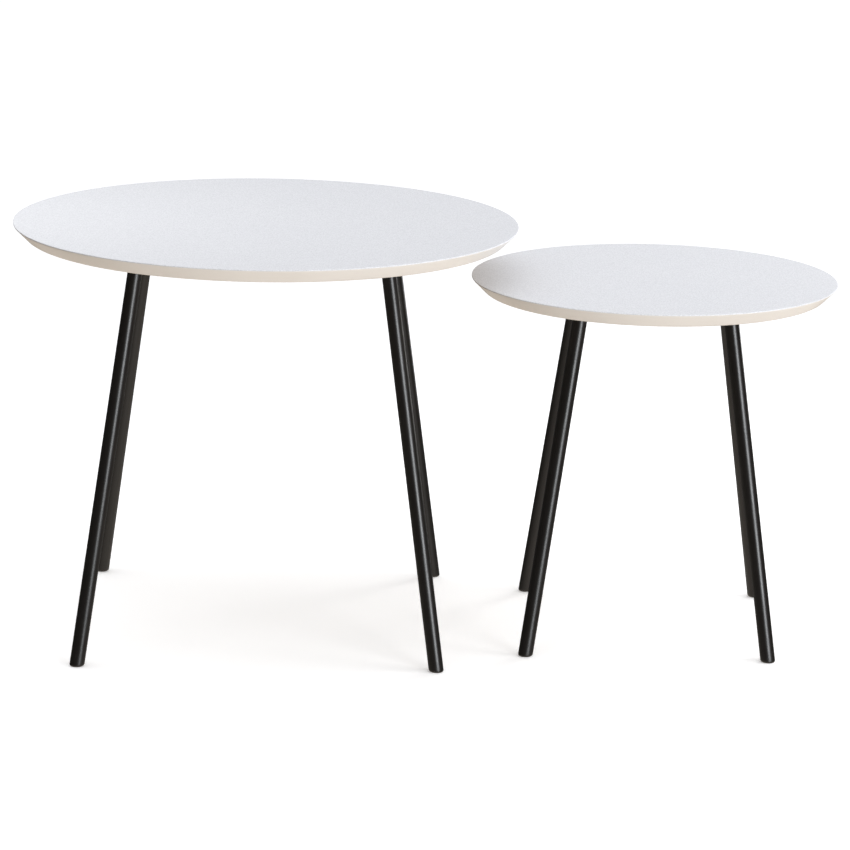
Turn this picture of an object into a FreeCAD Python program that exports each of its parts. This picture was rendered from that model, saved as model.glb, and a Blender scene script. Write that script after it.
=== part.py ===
import FreeCAD, Part
import os
import Sketcher

# Two round nesting side tables.  Each has a bevelled board under a white laminate sheet and four
# splayed round steel legs.  Every leg is welded to a square plate that four machine screws hold to
# threaded inserts in the board, and a plastic plug closes its lower end and stands on the floor.
# Millimetres, +Z up, floor at Z = 0, the row of tables along X, the front towards -Y.
# The origin is on the floor, under the middle of the whole set.

doc = FreeCAD.newDocument("nesting_tables")

# ---------------------------------------------------------------- driving dimensions
DIMENSIONS = [
    ("large_diameter", 550.0, "large tabletop, rim to rim"),
    ("large_height", 450.0, "large table, floor to top surface"),
    ("small_diameter", 400.0, "small tabletop, rim to rim"),
    ("small_height", 395.0, "small table, floor to top surface"),
    ("table_spacing", 425.0, "centre of the large table to centre of the small one"),
    ("small_turn", -1.8, "degrees the small table stands turned from the large one"),
    ("top_thickness", 16.0, "board and laminate together"),
    ("laminate_thickness", 1.0, "white laminate sheet"),
    ("laminate_edge_break", 0.3, "small chamfer round the laminate's upper edge"),
    ("rim_land", 1.5, "upright band at the rim before the bevel starts"),
    ("bevel_inset", 14.5, "how far the bevel runs in under the rim"),
    ("bevel_corner_radius", 3.0, "rounding where the bevel meets the underside"),
    ("tube_diameter", 16.0, "leg tube, outside"),
    ("tube_wall", 1.5, "leg tube wall"),
    ("leg_setback", 87.0, "rim to the leg's axis, measured at the underside"),
    ("leg_splay", 11.0, "degrees each leg leans outwards"),
    ("plate_side", 66.0, "leg plate, along each side"),
    ("plate_thickness", 3.0, "leg plate"),
    ("plate_corner_radius", 7.0, "leg plate, rounded corners"),
    ("hole_spacing", 46.0, "screw to screw along each side of a plate"),
    ("hole_diameter", 5.5, "clearance hole for a screw"),
    ("screw_diameter", 5.0, "machine screw thread"),
    ("screw_length", 12.0, "machine screw under its head"),
    ("screw_head_diameter", 9.5, "pan head"),
    ("screw_head_height", 3.5, "pan head"),
    ("screw_head_radius", 1.4, "rounding of the pan head"),
    ("socket_radius", 1.7, "hexagon socket, centre to corner"),
    ("socket_depth", 2.0, "hexagon socket"),
    ("insert_diameter", 8.0, "threaded insert, outside"),
    ("insert_length", 10.0, "threaded insert"),
    ("insert_thread", 5.2, "threaded insert, inside"),
    ("bore_diameter", 8.2, "bore for an insert"),
    ("bore_depth", 11.0, "bore for an insert, up into the board"),
    ("plug_cap_height", 11.0, "foot plug, along the leg's axis, below the tube"),
    ("plug_foot_radius", 2.5, "foot plug, rounding at the floor"),
    ("plug_spigot_diameter", 12.8, "foot plug, the part inside the tube"),
    ("plug_spigot_length", 16.0, "foot plug, the part inside the tube"),
    ("plug_hollow_diameter", 9.0, "foot plug, hollow of the spigot"),
    ("plug_lead_in", 0.8, "foot plug, chamfer at the spigot's upper end"),
]
sheet = doc.addObject("Spreadsheet::Sheet", "dims")
for row, (alias, value, meaning) in enumerate(DIMENSIONS, start=1):
    sheet.set(f"A{row}", meaning)
    sheet.set(f"B{row}", str(value))
    sheet.setAlias(f"B{row}", alias)
doc.recompute()

LARGE_CENTRE = "((dims.large_diameter - dims.small_diameter) / 2 - dims.table_spacing) / 2"
TABLES = {
    "large": {"centre": LARGE_CENTRE, "turn": "0"},
    "small": {"centre": f"{LARGE_CENTRE} + dims.table_spacing", "turn": "dims.small_turn"},
}
CORNERS = {"back_right": 45, "back_left": 135, "front_left": 225, "front_right": 315}


# ---------------------------------------------------------------- drawing helpers
def new_body(label, centre, radius, bearing, height, tilt="0"):
    """A body set on a table: polar position round its centre, height, bearing and outward tilt."""
    body = doc.addObject("PartDesign::Body", label)
    body.Label = label
    place = (f"vector({centre} + ({radius}) * cos({bearing}); ({radius}) * sin({bearing}); {height})")
    body.setExpression("Placement", f"placement({place}; rotation({bearing}; {tilt}; 0))")
    return body


def new_sketch(body, role, name, offset=None):
    """A sketch on one of the body's own origin planes, moved along its normal by an expression."""
    sketch = body.newObject("Sketcher::SketchObject", name)
    support = next(item for item in body.Origin.OriginFeatures if item.Role == role)
    sketch.AttachmentSupport = [(support, "")]
    sketch.MapMode = "FlatFace"
    if offset:
        sketch.setExpression("AttachmentOffset.Base.z", offset)
    return sketch


def pin_point(sketch, geometry, vertex, x_text, y_text):
    """Hold one point of a sketch at a position given by two expressions."""
    for kind, axis, text in (("DistanceX", -2, x_text), ("DistanceY", -1, y_text)):
        if text == "0":
            sketch.addConstraint(Sketcher.Constraint("PointOnObject", geometry, vertex, axis))
            continue
        value = float(sketch.evalExpression(text))
        index = sketch.addConstraint(Sketcher.Constraint(kind, -1, 1, geometry, vertex, value))
        sketch.setExpression(f"Constraints[{index}]", text)


def draw_profile(sketch, corners):
    """A closed outline of straight lines through corners given as pairs of expressions."""
    points = [FreeCAD.Vector(float(sketch.evalExpression(x)), float(sketch.evalExpression(y)), 0)
              for x, y in corners]
    count = len(points)
    for i in range(count):
        sketch.addGeometry(Part.LineSegment(points[i], points[(i + 1) % count]), False)
    for i in range(count):
        sketch.addConstraint(Sketcher.Constraint("Coincident", i, 2, (i + 1) % count, 1))
    for i, (x_text, y_text) in enumerate(corners):
        pin_point(sketch, i, 1, x_text, y_text)


def draw_circle(sketch, x_text, y_text, diameter_text):
    """A circle with its centre and diameter given by expressions."""
    centre = FreeCAD.Vector(float(sketch.evalExpression(x_text)), float(sketch.evalExpression(y_text)), 0)
    radius = float(sketch.evalExpression(diameter_text)) / 2
    circle = sketch.addGeometry(Part.Circle(centre, FreeCAD.Vector(0, 0, 1), radius), False)
    pin_point(sketch, circle, 3, x_text, y_text)
    index = sketch.addConstraint(Sketcher.Constraint("Diameter", circle, 2 * radius))
    sketch.setExpression(f"Constraints[{index}]", diameter_text)


def pad(body, sketch, name, length, downwards=False):
    feature = body.newObject("PartDesign::Pad", name)
    feature.Profile = sketch
    feature.setExpression("Length", length)
    feature.Reversed = downwards
    return finish_feature(body, sketch, feature)


def pocket(body, sketch, name, depth, upwards=False):
    before = body.Shape.Volume
    feature = body.newObject("PartDesign::Pocket", name)
    feature.Profile = sketch
    feature.setExpression("Length", depth)
    feature.Reversed = upwards
    finish_feature(body, sketch, feature)
    if not body.Shape.Volume < before:
        raise RuntimeError(f"{body.Label}: {name} removes nothing")
    return feature


def finish_feature(body, sketch, feature):
    sketch.Visibility = False
    body.Tip = feature
    doc.recompute()
    return feature


def polar_pattern(body, originals, count, name):
    """Repeat features round the body's own Z axis."""
    feature = body.newObject("PartDesign::PolarPattern", name)
    feature.Originals = originals
    axis = next(item for item in body.Origin.OriginFeatures if item.Role == "Z_Axis")
    feature.Axis = (axis, [""])
    feature.Angle = 360
    feature.Occurrences = count
    body.Tip = feature
    doc.recompute()
    return feature


def dress_edges(body, kind, name, size, chosen):
    """Fillet or chamfer the edges of the current tip that the test picks out."""
    base = body.Tip
    edges = [f"Edge{i}" for i, edge in enumerate(base.Shape.Edges, start=1) if chosen(edge)]
    if not edges:
        raise RuntimeError(f"{body.Label}: {name} finds no edge")
    feature = body.newObject(f"PartDesign::{kind}", name)
    feature.Base = (base, edges)
    feature.setExpression("Radius" if kind == "Fillet" else "Size", size)
    body.Tip = feature
    doc.recompute()
    return feature


def is_level(edge, height):
    """True for an edge that lies at one height of its body."""
    return all(abs(vertex.Point.z - height) < 1e-4 for vertex in edge.Vertexes) and \
        abs(edge.CenterOfMass.z - height) < 1e-4


def number(alias):
    return float(sheet.get(alias))


# ---------------------------------------------------------------- the sub-parts
def hole_grid(sketch, leg_radius, diameter):
    """Four circles at the corners of the square round one leg, which stands on local +X."""
    half = "dims.hole_spacing / 2"
    for x_sign in ("-", "+"):
        for y_text in (f"-{half}", half):
            draw_circle(sketch, f"{leg_radius} {x_sign} {half}", y_text, diameter)


def make_top_panel(table, centre, turn, leg_radius):
    """The bevelled board, turned on a router, with blind bores for the threaded inserts."""
    under = f"dims.{table}_height - dims.top_thickness"
    body = new_body(f"{table}_top_panel", centre, "0", f"45 + {turn}", under)
    outer = f"dims.{table}_diameter / 2"
    board = "dims.top_thickness - dims.laminate_thickness"
    profile = new_sketch(body, "XZ_Plane", f"{table}_panel_profile")
    draw_profile(profile, [
        ("0", "0"),
        (f"{outer} - dims.bevel_inset", "0"),
        (outer, "dims.top_thickness - dims.rim_land"),
        (outer, board),
        ("0", board),
    ])
    disc = body.newObject("PartDesign::Revolution", f"{table}_panel_disc")
    disc.Profile = profile
    disc.ReferenceAxis = (profile, ["V_Axis"])
    disc.Angle = 360
    finish_feature(body, profile, disc)
    holes = new_sketch(body, "XY_Plane", f"{table}_panel_bores")
    hole_grid(holes, leg_radius, "dims.bore_diameter")
    bores = pocket(body, holes, f"{table}_panel_bore_group", "dims.bore_depth", upwards=True)
    polar_pattern(body, [bores], 4, f"{table}_panel_bore_pattern")
    inner = number(f"{table}_diameter") / 2 - number("bevel_inset")
    dress_edges(body, "Fillet", f"{table}_panel_rounding", "dims.bevel_corner_radius",
                lambda edge: is_level(edge, 0) and edge.Length > inner)
    return body


def make_top_laminate(table, centre):
    """The white sheet bonded over the whole board, its sharp edge broken by hand."""
    level = f"dims.{table}_height - dims.laminate_thickness"
    body = new_body(f"{table}_top_laminate", centre, "0", "0", level)
    disc = new_sketch(body, "XY_Plane", f"{table}_laminate_disc")
    draw_circle(disc, "0", "0", f"dims.{table}_diameter")
    pad(body, disc, f"{table}_laminate_sheet", "dims.laminate_thickness")
    upper = number("laminate_thickness")
    dress_edges(body, "Chamfer", f"{table}_laminate_edge", "dims.laminate_edge_break",
                lambda edge: is_level(edge, upper))
    return body


def make_leg(table, corner, centre, bearing, leg_radius):
    """One straight tube: square at the foot, cut level at the top to sit flat on its plate."""
    level = f"dims.{table}_height - dims.top_thickness - dims.plate_thickness"
    body = new_body(f"{table}_leg_{corner}", centre, leg_radius, bearing, level, "-dims.leg_splay")
    length = f"({level}) / cos(dims.leg_splay) - dims.plug_cap_height"
    ring = new_sketch(body, "XY_Plane", f"{table}_{corner}_tube_ring", f"-({length})")
    draw_circle(ring, "0", "0", "dims.tube_diameter")
    draw_circle(ring, "0", "0", "dims.tube_diameter - 2 * dims.tube_wall")
    pad(body, ring, f"{table}_{corner}_tube", f"{length} + dims.tube_diameter")
    reach = "dims.tube_diameter"
    saw = new_sketch(body, "XZ_Plane", f"{table}_{corner}_saw_cut", "-dims.tube_diameter")
    draw_profile(saw, [
        (f"-{reach}", f"{reach} * tan(dims.leg_splay)"),
        (reach, f"-{reach} * tan(dims.leg_splay)"),
        (reach, f"2 * {reach}"),
        (f"-{reach}", f"2 * {reach}"),
    ])
    pocket(body, saw, f"{table}_{corner}_level_cut", "2 * dims.tube_diameter", upwards=True)
    return body


def make_leg_plate(table, corner, centre, bearing, leg_radius):
    """The square steel plate on the leg's upper end, punched for four screws."""
    level = f"dims.{table}_height - dims.top_thickness - dims.plate_thickness"
    body = new_body(f"{table}_leg_plate_{corner}", centre, leg_radius, bearing, level)
    half = "dims.plate_side / 2"
    blank = new_sketch(body, "XY_Plane", f"{table}_{corner}_plate_blank")
    draw_profile(blank, [(f"-{half}", f"-{half}"), (half, f"-{half}"), (half, half), (f"-{half}", half)])
    pad(body, blank, f"{table}_{corner}_plate", "dims.plate_thickness")
    thickness = number("plate_thickness")
    dress_edges(body, "Fillet", f"{table}_{corner}_plate_corners", "dims.plate_corner_radius",
                lambda edge: abs(edge.CenterOfMass.z - thickness / 2) < 1e-4)
    holes = new_sketch(body, "XY_Plane", f"{table}_{corner}_plate_holes")
    hole_grid(holes, "0", "dims.hole_diameter")
    pocket(body, holes, f"{table}_{corner}_plate_punch", "dims.plate_thickness", upwards=True)
    return body


def make_foot_plug(table, corner, centre, bearing, leg_radius):
    """The moulded plug: a cap as wide as the tube, level at the floor, on a hollow spigot."""
    foot_radius = (f"{leg_radius} + (dims.{table}_height - dims.top_thickness - dims.plate_thickness)"
                   " * tan(dims.leg_splay)")
    body = new_body(f"{table}_foot_plug_{corner}", centre, foot_radius, bearing, "0",
                    "-dims.leg_splay")
    reach = "dims.tube_diameter"
    cap = new_sketch(body, "XY_Plane", f"{table}_{corner}_cap_disc", f"-{reach}")
    draw_circle(cap, "0", "0", "dims.tube_diameter")
    pad(body, cap, f"{table}_{corner}_cap", f"{reach} + dims.plug_cap_height")
    floor = new_sketch(body, "XZ_Plane", f"{table}_{corner}_floor_cut", f"-{reach}")
    draw_profile(floor, [
        (f"-{reach}", f"{reach} * tan(dims.leg_splay)"),
        (f"-{reach}", f"-2 * {reach}"),
        (reach, f"-2 * {reach}"),
        (reach, f"-{reach} * tan(dims.leg_splay)"),
    ])
    pocket(body, floor, f"{table}_{corner}_level_foot", f"2 * {reach}", upwards=True)
    cap_height = number("plug_cap_height")
    dress_edges(body, "Fillet", f"{table}_{corner}_foot_rounding", "dims.plug_foot_radius",
                lambda edge: edge.CenterOfMass.z < cap_height / 3)
    spigot = new_sketch(body, "XY_Plane", f"{table}_{corner}_spigot_disc", "dims.plug_cap_height")
    draw_circle(spigot, "0", "0", "dims.plug_spigot_diameter")
    draw_circle(spigot, "0", "0", "dims.plug_hollow_diameter")
    pad(body, spigot, f"{table}_{corner}_spigot", "dims.plug_spigot_length")
    spigot_top = cap_height + number("plug_spigot_length")
    hollow = number("plug_hollow_diameter")
    dress_edges(body, "Chamfer", f"{table}_{corner}_spigot_lead_in", "dims.plug_lead_in",
                lambda edge: is_level(edge, spigot_top) and edge.Length > 3.5 * hollow)
    return body


def make_plate_screws(table, centre, turn, leg_radius):
    """The sixteen pan-head machine screws that hold the four plates up to the board."""
    under = f"dims.{table}_height - dims.top_thickness"
    body = new_body(f"{table}_plate_screws", centre, "0", f"45 + {turn}", under)
    body.AllowCompound = True
    seat = "-dims.plate_thickness"
    heads = new_sketch(body, "XY_Plane", f"{table}_screw_heads", seat)
    hole_grid(heads, leg_radius, "dims.screw_head_diameter")
    head = pad(body, heads, f"{table}_screw_head_group", "dims.screw_head_height", downwards=True)
    shanks = new_sketch(body, "XY_Plane", f"{table}_screw_shanks", seat)
    hole_grid(shanks, leg_radius, "dims.screw_diameter")
    shank = pad(body, shanks, f"{table}_screw_shank_group", "dims.screw_length")
    sockets = new_sketch(body, "XY_Plane", f"{table}_screw_sockets", f"{seat} - dims.screw_head_height")
    half = "dims.hole_spacing / 2"
    for x_sign in ("-", "+"):
        for y_sign in ("-", "+"):
            draw_socket(sockets, f"{leg_radius} {x_sign} {half}", f"{y_sign}{half}")
    socket = pocket(body, sockets, f"{table}_screw_socket_group", "dims.socket_depth", upwards=True)
    polar_pattern(body, [head, shank, socket], 4, f"{table}_screw_pattern")
    lower = -number("plate_thickness") - number("screw_head_height")
    around = 3 * number("screw_head_diameter")
    dress_edges(body, "Fillet", f"{table}_screw_head_rounding", "dims.screw_head_radius",
                lambda edge: is_level(edge, lower) and edge.Length > around)
    return body


def draw_socket(sketch, x_text, y_text):
    """A regular hexagon about a point, tied to the corner radius of a socket."""
    first = sketch.GeometryCount
    across = "dims.socket_radius * cos(30)"
    corners = []
    for x_part, y_part in (("1", None), ("0.5", "+"), ("-0.5", "+"), ("-1", None), ("-0.5", "-"), ("0.5", "-")):
        y_corner = y_text if y_part is None else f"{y_text} {y_part} {across}"
        corners.append((f"{x_text} + {x_part} * dims.socket_radius", y_corner))
    points = [FreeCAD.Vector(float(sketch.evalExpression(x)), float(sketch.evalExpression(y)), 0)
              for x, y in corners]
    for i in range(6):
        sketch.addGeometry(Part.LineSegment(points[i], points[(i + 1) % 6]), False)
    for i in range(6):
        sketch.addConstraint(Sketcher.Constraint("Coincident", first + i, 2, first + (i + 1) % 6, 1))
    for i, (corner_x, corner_y) in enumerate(corners):
        pin_point(sketch, first + i, 1, corner_x, corner_y)


def make_threaded_inserts(table, centre, turn, leg_radius):
    """The sixteen sleeves pressed into the board, flush with its underside."""
    under = f"dims.{table}_height - dims.top_thickness"
    body = new_body(f"{table}_threaded_inserts", centre, "0", f"45 + {turn}", under)
    body.AllowCompound = True
    sleeves = new_sketch(body, "XY_Plane", f"{table}_insert_rings")
    hole_grid(sleeves, leg_radius, "dims.insert_diameter")
    hole_grid(sleeves, leg_radius, "dims.insert_thread")
    sleeve = pad(body, sleeves, f"{table}_insert_group", "dims.insert_length")
    polar_pattern(body, [sleeve], 4, f"{table}_insert_pattern")
    return body


# ---------------------------------------------------------------- the two tables
nodes = []
for table, setting in TABLES.items():
    centre = setting["centre"]
    turn = setting["turn"]
    leg_radius = f"dims.{table}_diameter / 2 - dims.leg_setback"
    nodes.append(make_top_laminate(table, centre))
    nodes.append(make_top_panel(table, centre, turn, leg_radius))
    nodes.append(make_threaded_inserts(table, centre, turn, leg_radius))
    nodes.append(make_plate_screws(table, centre, turn, leg_radius))
    for corner, angle in CORNERS.items():
        bearing = f"{angle} + {turn}"
        nodes.append(make_leg_plate(table, corner, centre, bearing, leg_radius))
        nodes.append(make_leg(table, corner, centre, bearing, leg_radius))
        nodes.append(make_foot_plug(table, corner, centre, bearing, leg_radius))
doc.recompute()

# ---------------------------------------------------------------- checks, then the step files
for item in doc.Objects:
    if "Invalid" in item.State or "Error" in item.State:
        raise RuntimeError(f"{item.Label} is in state {item.State}")
for node in nodes:
    if node.Shape.isNull() or not node.Shape.isValid():
        raise RuntimeError(f"{node.Label} has no valid shape")

os.makedirs("parts", exist_ok=True)
for node in nodes:
    node.Shape.exportStep(f"parts/{node.Label}.step")
    box = node.Shape.BoundBox
    print(f"{node.Label}: {len(node.Shape.Solids)} solid(s), X {box.XMin:.1f}..{box.XMax:.1f},"
          f" Y {box.YMin:.1f}..{box.YMax:.1f}, Z {box.ZMin:.1f}..{box.ZMax:.1f},"
          f" {node.Shape.Volume:.0f} mm3")
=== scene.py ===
import math

import bmesh
import bpy
from mathutils import Matrix, Vector


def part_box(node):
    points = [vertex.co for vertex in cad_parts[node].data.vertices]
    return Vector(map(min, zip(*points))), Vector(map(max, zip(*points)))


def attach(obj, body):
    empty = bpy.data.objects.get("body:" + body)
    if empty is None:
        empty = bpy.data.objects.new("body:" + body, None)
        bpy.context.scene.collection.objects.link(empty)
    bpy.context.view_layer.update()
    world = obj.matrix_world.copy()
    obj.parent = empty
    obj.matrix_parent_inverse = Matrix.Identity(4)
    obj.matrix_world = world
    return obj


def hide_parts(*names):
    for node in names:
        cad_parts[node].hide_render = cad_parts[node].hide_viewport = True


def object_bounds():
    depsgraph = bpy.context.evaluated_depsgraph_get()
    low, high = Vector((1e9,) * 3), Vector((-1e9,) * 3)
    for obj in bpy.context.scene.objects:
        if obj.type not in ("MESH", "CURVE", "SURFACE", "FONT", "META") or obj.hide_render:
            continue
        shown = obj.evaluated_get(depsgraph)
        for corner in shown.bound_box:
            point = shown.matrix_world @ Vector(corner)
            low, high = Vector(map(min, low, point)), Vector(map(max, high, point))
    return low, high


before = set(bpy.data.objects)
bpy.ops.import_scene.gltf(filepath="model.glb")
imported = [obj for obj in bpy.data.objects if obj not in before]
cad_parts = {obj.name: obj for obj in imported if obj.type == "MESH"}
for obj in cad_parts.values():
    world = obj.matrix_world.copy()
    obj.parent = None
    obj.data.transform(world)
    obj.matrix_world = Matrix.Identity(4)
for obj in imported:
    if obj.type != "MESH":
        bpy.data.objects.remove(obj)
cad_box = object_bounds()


# ============================================================ camera
# A long lens in front of the two tables and a little above them, looking down on the tops.
# It stands slightly left of the middle of the set and is rolled about a degree anticlockwise.
LENS_MM = 172.06
CAMERA_PLACE = Vector((-0.0510, -4.3609, 1.2555))
LOOK_DOWN = math.radians(13.291)
LOOK_RIGHT = math.radians(0.699)
ROLL = math.radians(1.135)
FAR_CLIP = 60.0

scene = bpy.context.scene
forward = Vector((math.sin(LOOK_RIGHT) * math.cos(LOOK_DOWN), math.cos(LOOK_RIGHT) * math.cos(LOOK_DOWN),
                  -math.sin(LOOK_DOWN)))
level_right = Vector((math.cos(LOOK_RIGHT), -math.sin(LOOK_RIGHT), 0))
level_up = level_right.cross(forward)
camera_right = math.cos(ROLL) * level_right + math.sin(ROLL) * level_up
camera_up = math.cos(ROLL) * level_up - math.sin(ROLL) * level_right
camera_turn = Matrix((camera_right, camera_up, -forward)).transposed()

camera_data = bpy.data.cameras.new("camera")
camera_data.lens = LENS_MM
camera_data.clip_end = FAR_CLIP
camera = bpy.data.objects.new("camera", camera_data)
camera.matrix_world = Matrix.Translation(CAMERA_PLACE) @ camera_turn.to_4x4()
scene.collection.objects.link(camera)
scene.camera = camera


# ============================================================ white laminate sheets
# The face of each top is a sheet of white high-pressure laminate, 1 mm thick, bonded to the board
# and trimmed flush with it by a router; its upper arris is eased with a file.
TABLES = ("large", "small")
ROUND_TOP_SIDES = 320
SHEET_EASING = 0.0003
SHEET_UNDERCUT = 0.00015
RINGS_INSIDE_RIM = (0.002, 0.010)  # flat rings that keep the easing's shading off the face
LAMINATE_WHITE = (0.772, 0.778, 0.803)
LAMINATE_DRIFT = (0.757, 0.765, 0.793)
LAMINATE_SPECK = (0.642, 0.648, 0.671)


def mesh_piece(name, mesh, sharp_degrees):
    """An object of a mesh that is shaded smooth, apart from edges sharper than the given angle."""
    mesh.shade_smooth()
    mesh.set_sharp_from_angle(angle=math.radians(sharp_degrees))
    piece = bpy.data.objects.new(name, mesh)
    scene.collection.objects.link(piece)
    return piece


def piece_from_maker(name, mesh_maker, sharp_degrees):
    """Turn a finished bmesh into an object, with all its faces pointing outwards."""
    bmesh.ops.recalc_face_normals(mesh_maker, faces=mesh_maker.faces)
    mesh = bpy.data.meshes.new(name)
    mesh_maker.to_mesh(mesh)
    mesh_maker.free()
    return mesh_piece(name, mesh, sharp_degrees)


def spin_profile(name, profile, sides, closed=False, slope=0.0):
    """Spin (radius, height, share) points round local Z; share tilts a ring by the leg's slope."""
    mesh_maker = bmesh.new()
    rings = []
    for radius, height, share in profile:
        if radius == 0:
            rings.append([mesh_maker.verts.new((0, 0, height))])
            continue
        ring = []
        for side in range(sides):
            angle = 2 * math.pi * side / sides
            across = radius * math.cos(angle)
            ring.append(mesh_maker.verts.new(
                (across, radius * math.sin(angle), height - across * slope * share)))
        rings.append(ring)
    pairs = list(zip(rings, rings[1:]))
    if closed:
        pairs.append((rings[-1], rings[0]))
    for low, high in pairs:
        for side in range(sides):
            after = (side + 1) % sides
            corners = [low[side % len(low)], low[after % len(low)],
                       high[after % len(high)], high[side % len(high)]]
            mesh_maker.faces.new(list(dict.fromkeys(corners)))
    return piece_from_maker(name, mesh_maker, sharp_degrees=35)


def quarter_round(radius, height, bend, start, steps=5):
    """Points of a rounded arris: centre (radius, height), turning a right angle from start degrees."""
    points = []
    for step in range(steps + 1):
        angle = math.radians(start + 90 * step / steps)
        points.append((radius + bend * math.cos(angle), height + bend * math.sin(angle), 0))
    return points


def new_group(name, inputs, outputs):
    """A shader node group that reads a vector and numbers and puts out numbers."""
    group = bpy.data.node_groups.new(name, "ShaderNodeTree")
    group.interface.new_socket("Vector", in_out="INPUT", socket_type="NodeSocketVector")
    for label, value in inputs:
        socket = group.interface.new_socket(label, in_out="INPUT", socket_type="NodeSocketFloat")
        socket.default_value = value
    for label in outputs:
        group.interface.new_socket(label, in_out="OUTPUT", socket_type="NodeSocketFloat")
    return group, group.nodes.new("NodeGroupInput"), group.nodes.new("NodeGroupOutput")


def noise(tree, vector, scale, detail):
    """A noise texture whose scale comes from a socket."""
    node = tree.nodes.new("ShaderNodeTexNoise")
    node.inputs["Detail"].default_value = detail
    tree.links.new(vector, node.inputs["Vector"])
    tree.links.new(scale, node.inputs["Scale"])
    return node.outputs["Fac"]


def remap(tree, value, low, high, from_low=0.0, from_high=1.0):
    """Map a value from one range to another, held inside it."""
    node = tree.nodes.new("ShaderNodeMapRange")
    node.inputs["From Min"].default_value = from_low
    node.inputs["From Max"].default_value = from_high
    node.inputs["To Min"].default_value = low
    node.inputs["To Max"].default_value = high
    tree.links.new(value, node.inputs["Value"])
    return node.outputs["Result"]


def blend_colours(tree, mask, first, second):
    """Mix two colours, each a tuple or a socket, by a mask."""
    node = tree.nodes.new("ShaderNodeMix")
    node.data_type = "RGBA"
    tree.links.new(mask, node.inputs["Factor"])
    for label, colour in (("A", first), ("B", second)):
        socket = next(s for s in node.inputs if s.name == label and s.type == "RGBA")
        if isinstance(colour, tuple):
            socket.default_value = (*colour, 1)
        else:
            tree.links.new(colour, socket)
    return next(s for s in node.outputs if s.type == "RGBA")


def place_group(tree, group, vector, **values):
    """Put a shared effect into a material with its own values."""
    node = tree.nodes.new("ShaderNodeGroup")
    node.node_tree = group
    tree.links.new(vector, node.inputs["Vector"])
    for label, value in values.items():
        node.inputs[label.replace("_", " ").capitalize()].default_value = value
    return node


# Fine relief: the closed, slightly pebbled skin that laminate, lacquer and powder coat all have.
WAVE_SHARE = 0.6
fine_relief, relief_in, relief_out = new_group(
    "fine relief", [("Grain scale", 900.0), ("Wave scale", 120.0)], ["Height"])
grain = noise(fine_relief, relief_in.outputs["Vector"], relief_in.outputs["Grain scale"], detail=2.0)
wave = noise(fine_relief, relief_in.outputs["Vector"], relief_in.outputs["Wave scale"], detail=1.0)
relief_sum = fine_relief.nodes.new("ShaderNodeMath")
relief_sum.operation = "MULTIPLY_ADD"
relief_sum.inputs[1].default_value = WAVE_SHARE
fine_relief.links.new(wave, relief_sum.inputs[0])
fine_relief.links.new(grain, relief_sum.inputs[2])
fine_relief.links.new(relief_sum.outputs[0], relief_out.inputs["Height"])

# Soft clouds: the slow drift of colour and sheen over a coated surface, and its fine specks.
soft_clouds, clouds_in, clouds_out = new_group(
    "soft clouds", [("Cloud scale", 8.0), ("Speck scale", 400.0)], ["Clouds", "Specks"])
clouds = noise(soft_clouds, clouds_in.outputs["Vector"], clouds_in.outputs["Cloud scale"], detail=3.0)
specks = noise(soft_clouds, clouds_in.outputs["Vector"], clouds_in.outputs["Speck scale"], detail=1.0)
for label, value, from_low, from_high in (("Clouds", clouds, 0.3, 0.7), ("Specks", specks, 0.35, 0.65)):
    mask = remap(soft_clouds, value, 0.0, 1.0, from_low, from_high)
    soft_clouds.links.new(mask, clouds_out.inputs[label])


def coated_surface(name, colour, layers, cloud_scale, speck_scale, roughness, specular=0.5, relief=None):
    """A coat of layers, each (mask, colour), over a first colour.

    Roughness is one number or (mask, smooth, rough); relief is (grain scale, wave scale, depth).
    """
    material = bpy.data.materials.new(name)
    material.use_nodes = True
    tree = material.node_tree
    shader = tree.nodes["Principled BSDF"]
    place = tree.nodes.new("ShaderNodeTexCoord").outputs["Object"]
    cover = place_group(tree, soft_clouds, place, cloud_scale=cloud_scale, speck_scale=speck_scale)
    for mask, layer in layers:
        colour = blend_colours(tree, cover.outputs[mask], colour, layer)
    tree.links.new(colour, shader.inputs["Base Color"])
    if isinstance(roughness, tuple):
        mask, smooth, rough = roughness
        tree.links.new(remap(tree, cover.outputs[mask], smooth, rough), shader.inputs["Roughness"])
    else:
        shader.inputs["Roughness"].default_value = roughness
    shader.inputs["Specular IOR Level"].default_value = specular
    if relief:
        grain_scale, wave_scale, depth = relief
        skin = place_group(tree, fine_relief, place, grain_scale=grain_scale, wave_scale=wave_scale)
        bump = tree.nodes.new("ShaderNodeBump")
        bump.inputs["Distance"].default_value = depth
        tree.links.new(skin.outputs["Height"], bump.inputs["Height"])
        tree.links.new(bump.outputs["Normal"], shader.inputs["Normal"])
    return material, shader


laminate, _ = coated_surface(
    "white laminate", LAMINATE_WHITE, [("Clouds", LAMINATE_DRIFT), ("Specks", LAMINATE_SPECK)],
    cloud_scale=6.0, speck_scale=720.0, roughness=("Specks", 0.62, 0.72), specular=0.22,
    relief=(1500.0, 260.0, 0.00003))

for table in TABLES:
    low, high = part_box(f"{table}_top_laminate")
    radius = (high.x - low.x) / 2
    thick = high.z - low.z
    profile = [(0, 0, 0), (radius - SHEET_UNDERCUT, 0, 0), (radius, SHEET_UNDERCUT, 0)]
    profile += quarter_round(radius - SHEET_EASING, thick - SHEET_EASING, SHEET_EASING, start=0)
    profile += [(radius - inside, thick, 0) for inside in RINGS_INSIDE_RIM]
    profile += [(0, thick, 0)]
    sheet = spin_profile(f"{table}_laminate_sheet", profile, ROUND_TOP_SIDES)
    sheet.location = ((low.x + high.x) / 2, (low.y + high.y) / 2, low.z)
    sheet.data.materials.append(laminate)
    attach(sheet, f"{table}_table")
    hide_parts(f"{table}_top_laminate")


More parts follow.
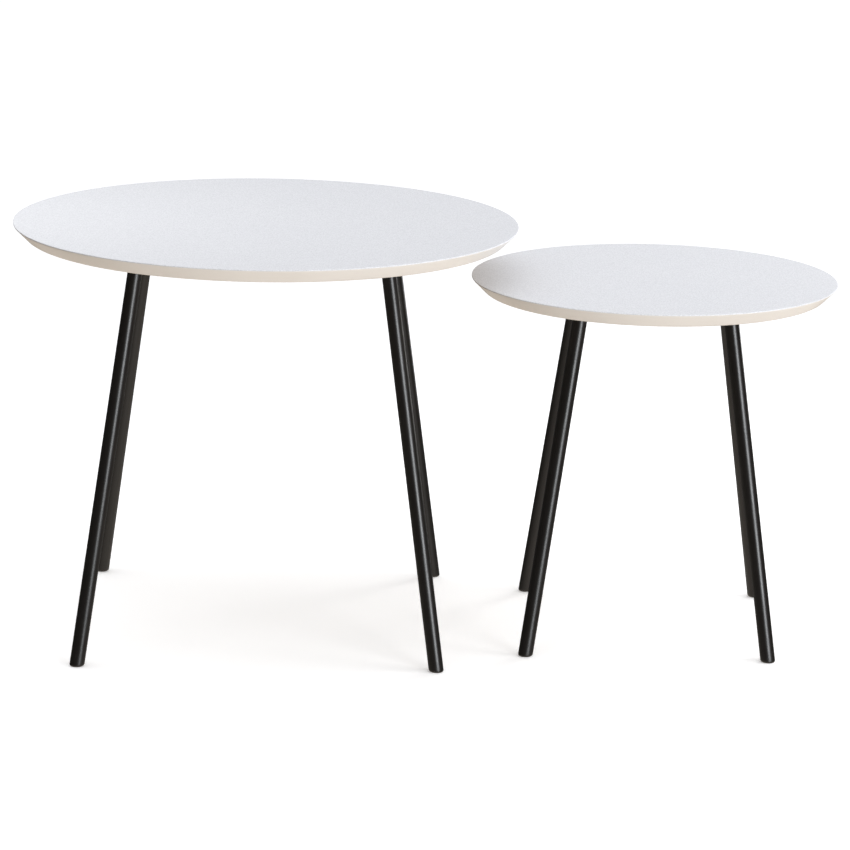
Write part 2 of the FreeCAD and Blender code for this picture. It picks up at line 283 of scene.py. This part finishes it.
# ============================================================ bevelled boards
# Under the sheet is a round fibreboard, turned to a 45 degree bevel that stops just short of the
# rim, sanded soft where the bevel meets the underside, and lacquered cream all over.
BEVEL_INSET = 0.0145
BEVEL_RISE = 0.0145
BOARD_SET_IN = 0.00025
LOWER_ROUNDING = 0.0035
RIM_ROUNDING = 0.0004
FLAT_RING = 0.010  # a ring this far inside the bevel keeps its shading off the underside
CREAM = (0.765, 0.732, 0.695)
CREAM_DEEP = (0.740, 0.705, 0.664)

lacquer, _ = coated_surface(
    "cream lacquer", CREAM, [("Clouds", CREAM_DEEP)],
    cloud_scale=14.0, speck_scale=900.0, roughness=("Specks", 0.34, 0.44),
    relief=(700.0, 150.0, 0.00006))


def soften_corner(before, corner, after, bend, steps=6):
    """Round a corner of a profile with an arc-like curve that starts and ends bend away from it."""
    def along(towards):
        share = bend / math.hypot(towards[0] - corner[0], towards[1] - corner[1])
        return (corner[0] + (towards[0] - corner[0]) * share, corner[1] + (towards[1] - corner[1]) * share)
    start, end = along(before), along(after)
    points = []
    for step in range(steps + 1):
        t = step / steps
        weights = ((1 - t) ** 2, 2 * t * (1 - t), t * t)
        radius, height = (sum(weight * point[axis] for weight, point in zip(weights, (start, corner, end)))
                          for axis in (0, 1))
        points.append((radius, height, 0))
    return points


for table in TABLES:
    low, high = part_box(f"{table}_top_panel")
    radius = (high.x - low.x) / 2 - BOARD_SET_IN
    thick = high.z - low.z
    lower = (radius - BEVEL_INSET, 0)
    rim = (radius, BEVEL_RISE)
    profile = [(0, 0, 0), (radius - BEVEL_INSET - FLAT_RING, 0, 0)]
    profile += soften_corner((0, 0), lower, rim, LOWER_ROUNDING)
    profile += soften_corner(lower, rim, (radius, thick), RIM_ROUNDING, steps=4)
    profile += [(radius, thick, 0), (0, thick, 0)]
    board = spin_profile(f"{table}_board", profile, ROUND_TOP_SIDES)
    board.location = ((low.x + high.x) / 2, (low.y + high.y) / 2, low.z)
    board.data.materials.append(lacquer)
    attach(board, f"{table}_table")
    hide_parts(f"{table}_top_panel")


# ============================================================ leg tubes and their welds
# Each leg is one straight length of round steel tube, 16 by 1.5 mm, leaning outwards 11 degrees.
# Its upper end is sawn level and welded all round to a plate, then both are powder coated black.
CORNERS = ("back_right", "back_left", "front_left", "front_right")
LEAN = math.radians(11)
LEAN_TURN = Matrix.Rotation(-LEAN, 4, "Y")
SLOPE = math.tan(LEAN)
TUBE_RADIUS = 0.008
TUBE_BORE = 0.0065
TUBE_SIDES = 96
TUBE_SPANS = 12
END_BREAK = 0.00008
CAP_HEIGHT = 0.011  # the foot plug's cap, which takes up the lowest part of the leg
WELD_LEG = 0.0026
WELD_ROOT = 0.0005
WELD_RIPPLES = 26
RIPPLE_DEPTH = 0.04
HAND_WAVES = ((0.9, 3, 1), (0.6, 7, 0))  # (share, waves in one turn, start) of the hand's unevenness
HAND_SWELL = 0.03
WELD_SIDES = 192
WELD_ARC_STEPS = 6
COAT_BLACK = (0.0060, 0.0050, 0.0042)
COAT_GREY = (0.0092, 0.0077, 0.0065)

powder_coat, _ = coated_surface(
    "black powder coat", COAT_BLACK, [("Specks", COAT_GREY)],
    cloud_scale=40.0, speck_scale=1400.0, roughness=("Clouds", 0.31, 0.36), specular=0.46,
    relief=(1100.0, 320.0, 0.000007))


def leg_top(table, corner):
    """Top point of a leg's axis under its plate, and the turn that points local X outwards."""
    table_low, table_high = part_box(f"{table}_top_panel")
    low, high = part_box(f"{table}_leg_plate_{corner}")
    top = Vector(((low.x + high.x) / 2, (low.y + high.y) / 2, low.z))
    outwards = top - (table_low + table_high) / 2
    return top, Matrix.Rotation(math.atan2(outwards.y, outwards.x), 4, "Z")


def weld_bead(name):
    """A rippled fillet of weld round the level end of a tube, laid by a slightly uneven hand."""
    mesh_maker = bmesh.new()
    rings = []
    for side in range(WELD_SIDES):
        angle = 2 * math.pi * side / WELD_SIDES
        hand = sum(share * math.sin(waves * angle + start) for share, waves, start in HAND_WAVES)
        ripple = math.sin(WELD_RIPPLES * angle + hand)
        size = WELD_LEG * (1 + RIPPLE_DEPTH * ripple + HAND_SWELL * hand)
        out = Vector((math.cos(angle), math.sin(angle), -math.cos(angle) * SLOPE))
        wall = out * TUBE_RADIUS
        ring = [mesh_maker.verts.new(wall - out * WELD_ROOT)]
        for step in range(WELD_ARC_STEPS + 1):
            turn = math.radians(90 * step / WELD_ARC_STEPS)
            down = Vector((0, 0, size * math.sin(turn)))
            ring.append(mesh_maker.verts.new(wall + out * size * math.cos(turn) - down))
        rings.append(ring)
    for ring, after in zip(rings, rings[1:] + rings[:1]):
        for near in range(len(ring)):
            far = (near + 1) % len(ring)
            mesh_maker.faces.new((ring[near], ring[far], after[far], after[near]))
    return piece_from_maker(name, mesh_maker, sharp_degrees=50)


for table in TABLES:
    for corner in CORNERS:
        top, turn = leg_top(table, corner)
        length = top.z / math.cos(LEAN) - CAP_HEIGHT
        profile = [(TUBE_BORE, 0, 1), (TUBE_RADIUS, 0, 1)]
        profile += [(TUBE_RADIUS, -length * span / TUBE_SPANS, 0) for span in range(1, TUBE_SPANS)]
        profile += [(TUBE_RADIUS, END_BREAK - length, 0), (TUBE_RADIUS - END_BREAK, -length, 0),
                    (TUBE_BORE, -length, 0)]
        tube = spin_profile(f"{table}_tube_{corner}", profile, TUBE_SIDES, closed=True, slope=SLOPE)
        bead = weld_bead(f"{table}_weld_{corner}")
        for piece in (tube, bead):
            piece.matrix_world = Matrix.Translation(top) @ turn @ LEAN_TURN
            piece.data.materials.append(powder_coat)
            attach(piece, f"{table}_table")
        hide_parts(f"{table}_leg_{corner}")


# ============================================================ leg plates
# A square of 3 mm steel with rounded corners is stamped out with four screw holes, so its edges
# are slightly rolled; it lies flat against the underside of the board, coated like the tube.
PLATE_SIDE = 0.066
PLATE_CORNER = 0.007
PLATE_EDGE = 0.0004
HOLE_SPACING = 0.046
HOLE_RADIUS = 0.00275
ARC_STEP = 11.25


def arc_points(centre_x, centre_y, radius, start, count):
    """Points on an arc, ARC_STEP degrees apart, anticlockwise from start degrees."""
    turns = [math.radians(start + ARC_STEP * step) for step in range(count)]
    return [(centre_x + radius * math.cos(turn), centre_y + radius * math.sin(turn)) for turn in turns]


def add_loop(curve, points):
    """Add a closed straight-sided outline to a flat curve."""
    loop = curve.splines.new("POLY")
    loop.points.add(len(points) - 1)
    for point, (x, y) in zip(loop.points, points):
        point.co = (x, y, 0, 1)
    loop.use_cyclic_u = True


def stamped_plate(name, thick):
    """A flat plate with rounded corners, four holes and rolled edges, as a mesh."""
    curve = bpy.data.curves.new(name, "CURVE")
    curve.dimensions = "2D"
    curve.fill_mode = "BOTH"
    curve.extrude = thick / 2 - PLATE_EDGE
    curve.bevel_depth = PLATE_EDGE
    curve.bevel_resolution = 2
    reach = PLATE_SIDE / 2 - PLATE_CORNER
    outline = []
    for start, x_side, y_side in ((0, 1, 1), (90, -1, 1), (180, -1, -1), (270, 1, -1)):
        outline += arc_points(x_side * reach, y_side * reach, PLATE_CORNER - PLATE_EDGE, start, 9)
    add_loop(curve, outline)
    for x_side in (-1, 1):
        for y_side in (-1, 1):
            add_loop(curve, arc_points(x_side * HOLE_SPACING / 2, y_side * HOLE_SPACING / 2,
                                       HOLE_RADIUS + PLATE_EDGE, 0, 32))
    shape = bpy.data.objects.new(name, curve)
    mesh = bpy.data.meshes.new_from_object(shape)
    bpy.data.objects.remove(shape)
    bpy.data.curves.remove(curve)
    return mesh_piece(name, mesh, sharp_degrees=40)


for table in TABLES:
    for corner in CORNERS:
        low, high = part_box(f"{table}_leg_plate_{corner}")
        thick = high.z - low.z
        top, turn = leg_top(table, corner)
        plate = stamped_plate(f"{table}_plate_{corner}", thick)
        plate.matrix_world = Matrix.Translation(top + Vector((0, 0, thick / 2))) @ turn
        plate.data.materials.clear()
        plate.data.materials.append(powder_coat)
        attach(plate, f"{table}_table")
        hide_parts(f"{table}_leg_plate_{corner}")


# ============================================================ screws and inserts
# Four zinc-plated M5 pan-head screws with hexagon sockets hold each plate; they run into threaded
# sleeves pressed into the board. The solids are right as they are and get their plating here.
ZINC = (0.560, 0.560, 0.545)
ZINC_DULL = (0.420, 0.415, 0.400)

zinc, zinc_shader = coated_surface(
    "zinc plating", ZINC, [("Clouds", ZINC_DULL)],
    cloud_scale=300.0, speck_scale=2500.0, roughness=("Specks", 0.28, 0.42),
    relief=(3000.0, 900.0, 0.00001))
zinc_shader.inputs["Metallic"].default_value = 1.0

for table in TABLES:
    for node in (f"{table}_plate_screws", f"{table}_threaded_inserts"):
        for material_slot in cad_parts[node].material_slots:
            material_slot.material = zinc


# ============================================================ foot plugs
# A black moulded plug is pushed into the lower end of each tube: a cap as wide as the tube, cut
# level where it meets the floor and rounded there, on a hollow spigot that grips the bore.
FOOT_ROUNDING = 0.0025
FOOT_RING = 0.001  # a ring this far inside the rounding keeps its shading off the flat foot
TURNING_HEIGHT = 0.005  # between the level foot and the square upper end of the cap
TURNING_SHARE = 0.6
SPIGOT_RADIUS = 0.0064
SPIGOT_HOLLOW = 0.0045
SPIGOT_END = CAP_HEIGHT + 0.016
SPIGOT_LEAD_IN = 0.0008
PLUG_BLACK = (0.0062, 0.0053, 0.0045)
PLUG_GREY = (0.0095, 0.0080, 0.0069)

plug_plastic, _ = coated_surface(
    "black moulded plastic", PLUG_BLACK, [("Specks", PLUG_GREY)],
    cloud_scale=120.0, speck_scale=1800.0, roughness=("Clouds", 0.32, 0.38), specular=0.44,
    relief=(1600.0, 500.0, 0.00001))

plug_profile = [(0, 0, 1), (TUBE_RADIUS - FOOT_ROUNDING - FOOT_RING, 0, 1)]
plug_profile += [(radius, height, 1) for radius, height, _ in quarter_round(
    TUBE_RADIUS - FOOT_ROUNDING, FOOT_ROUNDING, FOOT_ROUNDING, start=-90, steps=8)]
plug_profile += [(TUBE_RADIUS, TURNING_HEIGHT, TURNING_SHARE), (TUBE_RADIUS, CAP_HEIGHT - END_BREAK, 0),
                 (TUBE_RADIUS - END_BREAK, CAP_HEIGHT, 0), (SPIGOT_RADIUS, CAP_HEIGHT, 0),
                 (SPIGOT_RADIUS, SPIGOT_END - SPIGOT_LEAD_IN, 0),
                 (SPIGOT_RADIUS - SPIGOT_LEAD_IN, SPIGOT_END, 0),
                 (SPIGOT_HOLLOW, SPIGOT_END, 0), (SPIGOT_HOLLOW, CAP_HEIGHT, 0), (0, CAP_HEIGHT, 0)]

for table in TABLES:
    for corner in CORNERS:
        top, turn = leg_top(table, corner)
        leaning = turn @ LEAN_TURN
        foot = top - leaning.to_3x3() @ Vector((0, 0, top.z / math.cos(LEAN)))
        plug = spin_profile(f"{table}_plug_{corner}", plug_profile, TUBE_SIDES, slope=SLOPE)
        plug.matrix_world = Matrix.Translation(foot) @ leaning
        plug.data.materials.append(plug_plastic)
        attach(plug, f"{table}_table")
        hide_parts(f"{table}_foot_plug_{corner}")


# ============================================================ floor
# A pale seamless floor. It is there for the lens and to catch the shadows: it glows a little, lets
# light through, and neither lights the tables nor is mirrored in them. The world does that below.
FLOOR_HALF = 28.0
FLOOR_GAP = 0.0001
FLOOR_GLOW = 0.25
FLOOR_PALE = (0.97, 0.97, 0.97)
FLOOR_SHADE = (0.96, 0.96, 0.96)

floor_material, floor_shader = coated_surface(
    "pale floor", FLOOR_PALE, [("Clouds", FLOOR_SHADE)],
    cloud_scale=0.6, speck_scale=60.0, roughness=0.9, specular=0.1)
floor_shader.inputs["Emission Color"].default_value = (1, 1, 1, 1)
floor_shader.inputs["Emission Strength"].default_value = FLOOR_GLOW

floor_mesh = bpy.data.meshes.new("floor")
floor_corners = [(-FLOOR_HALF, -FLOOR_HALF, 0), (FLOOR_HALF, -FLOOR_HALF, 0),
                 (FLOOR_HALF, FLOOR_HALF, 0), (-FLOOR_HALF, FLOOR_HALF, 0)]
floor_mesh.from_pydata(floor_corners, [], [(0, 1, 2, 3)])
floor_mesh.materials.append(floor_material)
floor = bpy.data.objects.new("floor", floor_mesh)
floor.location.z = cad_box[0][2] - FLOOR_GAP
floor.visible_diffuse = False
floor.visible_glossy = False
floor.visible_shadow = False
scene.collection.objects.link(floor)


# ============================================================ studio light
# A very broad soft light overhead, a large low soft box to the right in front, a slim one to the
# right behind, and two that reach over the tops, a small one from the left and one from the right.
AIM = Vector((0, 0, 0.3))
OVERHEAD_STRENGTH = 1.57
OVERHEAD_SPREAD = math.radians(100)
OVERHEAD_TURN = (math.radians(-10), math.radians(8), 0)
OVERHEAD_WHITE = (1.0, 0.995, 1.0)


def soft_light(name, azimuth, elevation, distance, width, height, power, colour):
    """An area light aimed at the tables; azimuth 0 is in front of them, 90 to their right."""
    light = bpy.data.lights.new(name, "AREA")
    light.shape = "RECTANGLE"
    light.size = width
    light.size_y = height
    light.energy = power
    light.color = colour
    lamp = bpy.data.objects.new(name, light)
    around, up = math.radians(azimuth), math.radians(elevation)
    away = Vector((math.sin(around) * math.cos(up), -math.cos(around) * math.cos(up), math.sin(up)))
    lamp.location = AIM + away * distance
    lamp.rotation_mode = "QUATERNION"
    lamp.rotation_quaternion = (-away).to_track_quat("-Z", "Y")
    lamp.visible_camera = False
    scene.collection.objects.link(lamp)


overhead = bpy.data.lights.new("overhead", "SUN")
overhead.energy = OVERHEAD_STRENGTH
overhead.angle = OVERHEAD_SPREAD
overhead.color = OVERHEAD_WHITE
overhead_lamp = bpy.data.objects.new("overhead", overhead)
overhead_lamp.rotation_euler = OVERHEAD_TURN
scene.collection.objects.link(overhead_lamp)
soft_light("right front", azimuth=34, elevation=3.2, distance=4.5, width=1.8, height=1.5,
           power=156, colour=(0.94, 0.97, 1.0))
soft_light("right back", azimuth=135, elevation=12, distance=1.6, width=0.5, height=1.2,
           power=6.5, colour=(1.0, 0.99, 0.98))
soft_light("over left", azimuth=268, elevation=45, distance=0.8, width=0.4, height=0.4,
           power=0.8, colour=(1.0, 1.0, 0.98))
soft_light("over right", azimuth=80, elevation=32, distance=2.2, width=1.0, height=1.0,
           power=10.5, colour=(1.0, 1.0, 1.0))

# The world stands in for what a white floor and room send back to the tables: warm and pale from
# below, palest at a low slant, dark at the height of the tables, cool and dim from above. Each tone
# has its place from straight down, 0, to straight up, 1. The lens sees an even backdrop instead.
FROM_BELOW = (0.79, 0.70, 0.60)
FROM_LOW_SLANT = (1.32, 1.20, 1.07)
AT_TABLE_HEIGHT = (0.06, 0.06, 0.06)
FROM_ABOVE = (0.45, 0.46, 0.48)
BACKDROP = (0.97, 0.97, 0.97)
SURROUND = ((0.00, FROM_BELOW), (0.18, FROM_BELOW), (0.24, FROM_LOW_SLANT),
            (0.34, AT_TABLE_HEIGHT), (0.70, AT_TABLE_HEIGHT), (0.82, FROM_ABOVE))
world = bpy.data.worlds.new("studio")
world.use_nodes = True
tree = world.node_tree
direction = tree.nodes.new("ShaderNodeTexCoord").outputs["Generated"]
parts = tree.nodes.new("ShaderNodeSeparateXYZ")
tree.links.new(direction, parts.inputs["Vector"])
ramp = tree.nodes.new("ShaderNodeValToRGB")
while len(ramp.color_ramp.elements) < len(SURROUND):
    ramp.color_ramp.elements.new(0.5)
for element, (position, colour) in zip(ramp.color_ramp.elements, SURROUND):
    element.position = position
    element.color = (*colour, 1)
tree.links.new(remap(tree, parts.outputs["Z"], 0.0, 1.0, -1.0, 1.0), ramp.inputs["Fac"])
seen = tree.nodes.new("ShaderNodeLightPath").outputs["Is Camera Ray"]
tree.links.new(blend_colours(tree, seen, ramp.outputs["Color"], BACKDROP),
               tree.nodes["Background"].inputs["Color"])
scene.world = world
scene.view_settings.view_transform = "Standard"
